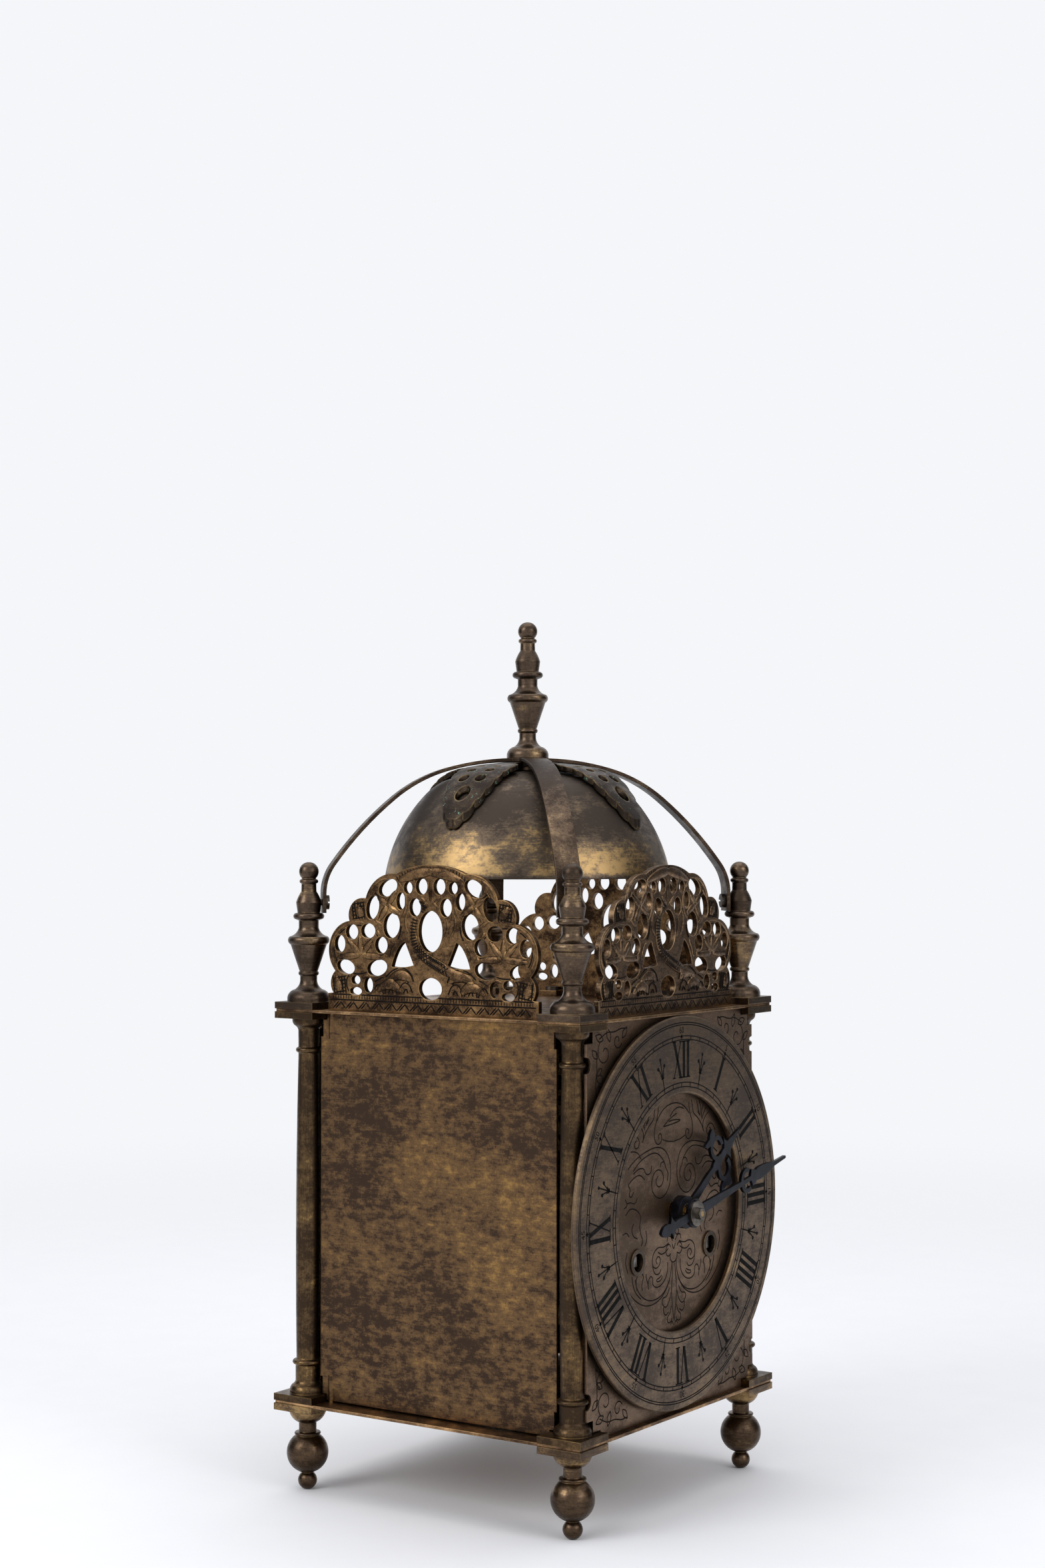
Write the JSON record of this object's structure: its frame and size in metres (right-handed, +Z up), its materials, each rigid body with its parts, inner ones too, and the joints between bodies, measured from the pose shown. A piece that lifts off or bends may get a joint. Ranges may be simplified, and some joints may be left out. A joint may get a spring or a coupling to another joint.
{
  "type": "lantern clock",
  "caption": "Brass lantern clock on turned feet with corner pillars, pierced frets, a strapped bell, a raised hour ring, pierced hands and a spring-driven striking movement behind side doors.",
  "frame": {"origin": "on the floor under the middle of the clock's whole width and depth", "axes": "+Z up, dial facing -Y, +X to the right of someone who looks at the dial"},
  "size_m": [0.1594, 0.1616, 0.363],
  "materials": {
    "brass_dark": "aged, patinated",
    "brass_bright": "satin",
    "steel": "satin",
    "steel_blue": "blued"
  },
  "bodies": {
    "case": {"base_plate": "brass_dark", "top_plate": "brass_dark", "pillar_front_left": "brass_dark", "pillar_front_right": "brass_dark", "pillar_back_left": "brass_dark", "pillar_back_right": "brass_dark", "foot_front_left": "brass_dark", "foot_front_right": "brass_dark", "foot_back_left": "brass_dark", "foot_back_right": "brass_dark", "finial_front_left": "brass_dark", "finial_front_right": "brass_dark", "finial_back_left": "brass_dark", "finial_back_right": "brass_dark", "top_finial": "brass_dark", "corner_studs": "steel", "back_plate": "brass_dark", "dial_plate": "brass_dark", "case_brackets": "brass_dark", "chapter_ring": "brass_dark", "chapter_ring_posts": "brass_dark", "winding_eyelets": "brass_dark", "bell": "brass_dark", "bell_stud": "steel", "bell_strap": "brass_dark", "leaf_ornament": "brass_dark", "small_screws": "steel", "fret_front": "brass_dark", "fret_left": "brass_dark", "fret_right": "brass_dark", "movement_front_plate": "brass_bright", "movement_back_plate": "brass_bright", "movement_pillars": "brass_bright", "dial_feet": "brass_bright", "back_cock": "brass_bright"},
    "centre": {"centre_wheel": "brass_bright", "cannon_pinion": "brass_bright", "minute_hand": "steel_blue", "hand_collet": "steel", "hand_nut": "brass_bright"},
    "hour": {"hour_wheel": "brass_bright", "hour_hand": "steel_blue"},
    "minute_wheel": {"minute_wheel": "brass_bright"},
    "intermediate": {"intermediate_wheel": "brass_bright"},
    "going_barrel": {"going_barrel": "brass_bright"},
    "third": {"third_wheel": "brass_bright"},
    "escape": {"escape_wheel": "brass_bright"},
    "pendulum": {"anchor": "steel", "pendulum": "brass_bright"},
    "going_winding": {"going_winding_arbor": "steel"},
    "going_click": {"going_click": "steel"},
    "strike_barrel": {"strike_barrel": "brass_bright"},
    "strike_winding": {"strike_winding_arbor": "steel"},
    "strike_click": {"strike_click": "steel"},
    "pin_wheel": {"pin_wheel": "brass_bright"},
    "locking": {"locking_wheel": "brass_bright"},
    "fly": {"fly": "brass_bright"},
    "hammer": {"hammer": "steel"},
    "door_left": {"side_door_left": "brass_dark"},
    "door_right": {"side_door_right": "brass_dark"}
  },
  "joints": [
    {"name": "centre_turn", "type": "hinge", "parent": "case", "child": "centre", "pos_m": [0, -0.03515, 0.1185], "axis": [0, 1, 0], "continuous": true},
    {"name": "hour_turn", "type": "hinge", "parent": "case", "child": "hour", "pos_m": [0, -0.05915, 0.1185], "axis": [0, 1, 0], "continuous": true},
    {"name": "minute_wheel_turn", "type": "hinge", "parent": "case", "child": "minute_wheel", "pos_m": [0, -0.05615, 0.1305], "axis": [0, 1, 0], "continuous": true},
    {"name": "intermediate_turn", "type": "hinge", "parent": "case", "child": "intermediate", "pos_m": [0.01714, -0.03515, 0.12399], "axis": [0, 1, 0], "continuous": true},
    {"name": "going_barrel_turn", "type": "hinge", "parent": "case", "child": "going_barrel", "pos_m": [0.0285, -0.03515, 0.1015], "axis": [0, 1, 0], "continuous": true},
    {"name": "third_turn", "type": "hinge", "parent": "case", "child": "third", "pos_m": [-0.00127, -0.03515, 0.13301], "axis": [0, 1, 0], "continuous": true},
    {"name": "escape_turn", "type": "hinge", "parent": "case", "child": "escape", "pos_m": [-0.00127, -0.03515, 0.145], "axis": [0, 1, 0], "continuous": true},
    {"name": "pendulum_swing", "type": "hinge", "parent": "case", "child": "pendulum", "pos_m": [-0.00127, -0.01515, 0.15951], "axis": [0, 1, 0], "range_deg": [-3, 3]},
    {"name": "going_winding_turn", "type": "hinge", "parent": "case", "child": "going_winding", "pos_m": [0.0285, -0.03515, 0.1015], "axis": [0, 1, 0], "continuous": true},
    {"name": "going_click_lift", "type": "hinge", "parent": "case", "child": "going_click", "pos_m": [0.03554, -0.05415, 0.11474], "axis": [0, 1, 0], "range_deg": [0, 15]},
    {"name": "strike_barrel_turn", "type": "hinge", "parent": "case", "child": "strike_barrel", "pos_m": [-0.0285, -0.03515, 0.1015], "axis": [0, 1, 0], "continuous": true},
    {"name": "strike_winding_turn", "type": "hinge", "parent": "case", "child": "strike_winding", "pos_m": [-0.0285, -0.03515, 0.1015], "axis": [0, 1, 0], "continuous": true},
    {"name": "strike_click_lift", "type": "hinge", "parent": "case", "child": "strike_click", "pos_m": [-0.03554, -0.05415, 0.11474], "axis": [0, -1, 0], "range_deg": [0, 15]},
    {"name": "pin_wheel_turn", "type": "hinge", "parent": "case", "child": "pin_wheel", "pos_m": [-0.01714, -0.03515, 0.12399], "axis": [0, 1, 0], "continuous": true},
    {"name": "locking_turn", "type": "hinge", "parent": "case", "child": "locking", "pos_m": [-0.02018, -0.03515, 0.14123], "axis": [0, 1, 0], "continuous": true},
    {"name": "fly_turn", "type": "hinge", "parent": "case", "child": "fly", "pos_m": [-0.01775, -0.03515, 0.15502], "axis": [0, 1, 0], "continuous": true},
    {"name": "hammer_swing", "type": "hinge", "parent": "case", "child": "hammer", "pos_m": [-0.0264, -0.03515, 0.1645], "axis": [0, 1, 0], "range_deg": [-0.5, 12]},
    {"name": "door_left_swing", "type": "hinge", "parent": "case", "child": "door_left", "pos_m": [-0.0659, 0.05835, 0.1179], "axis": [0, 0, -1], "range_deg": [0, 100]},
    {"name": "door_right_swing", "type": "hinge", "parent": "case", "child": "door_right", "pos_m": [0.0659, 0.05835, 0.1179], "axis": [0, 0, 1], "range_deg": [0, 100]}
  ],
  "couplings": [
    {"joint": "hour_turn", "follows": "centre_turn", "ratio": 0.083333},
    {"joint": "minute_wheel_turn", "follows": "centre_turn", "ratio": -0.33333},
    {"joint": "intermediate_turn", "follows": "centre_turn", "ratio": -0.2},
    {"joint": "going_barrel_turn", "follows": "centre_turn", "ratio": 0.033333},
    {"joint": "third_turn", "follows": "centre_turn", "ratio": -12},
    {"joint": "escape_turn", "follows": "centre_turn", "ratio": 132},
    {"joint": "pin_wheel_turn", "follows": "strike_barrel_turn", "ratio": -6},
    {"joint": "locking_turn", "follows": "strike_barrel_turn", "ratio": 36},
    {"joint": "fly_turn", "follows": "strike_barrel_turn", "ratio": -216}
  ]
}
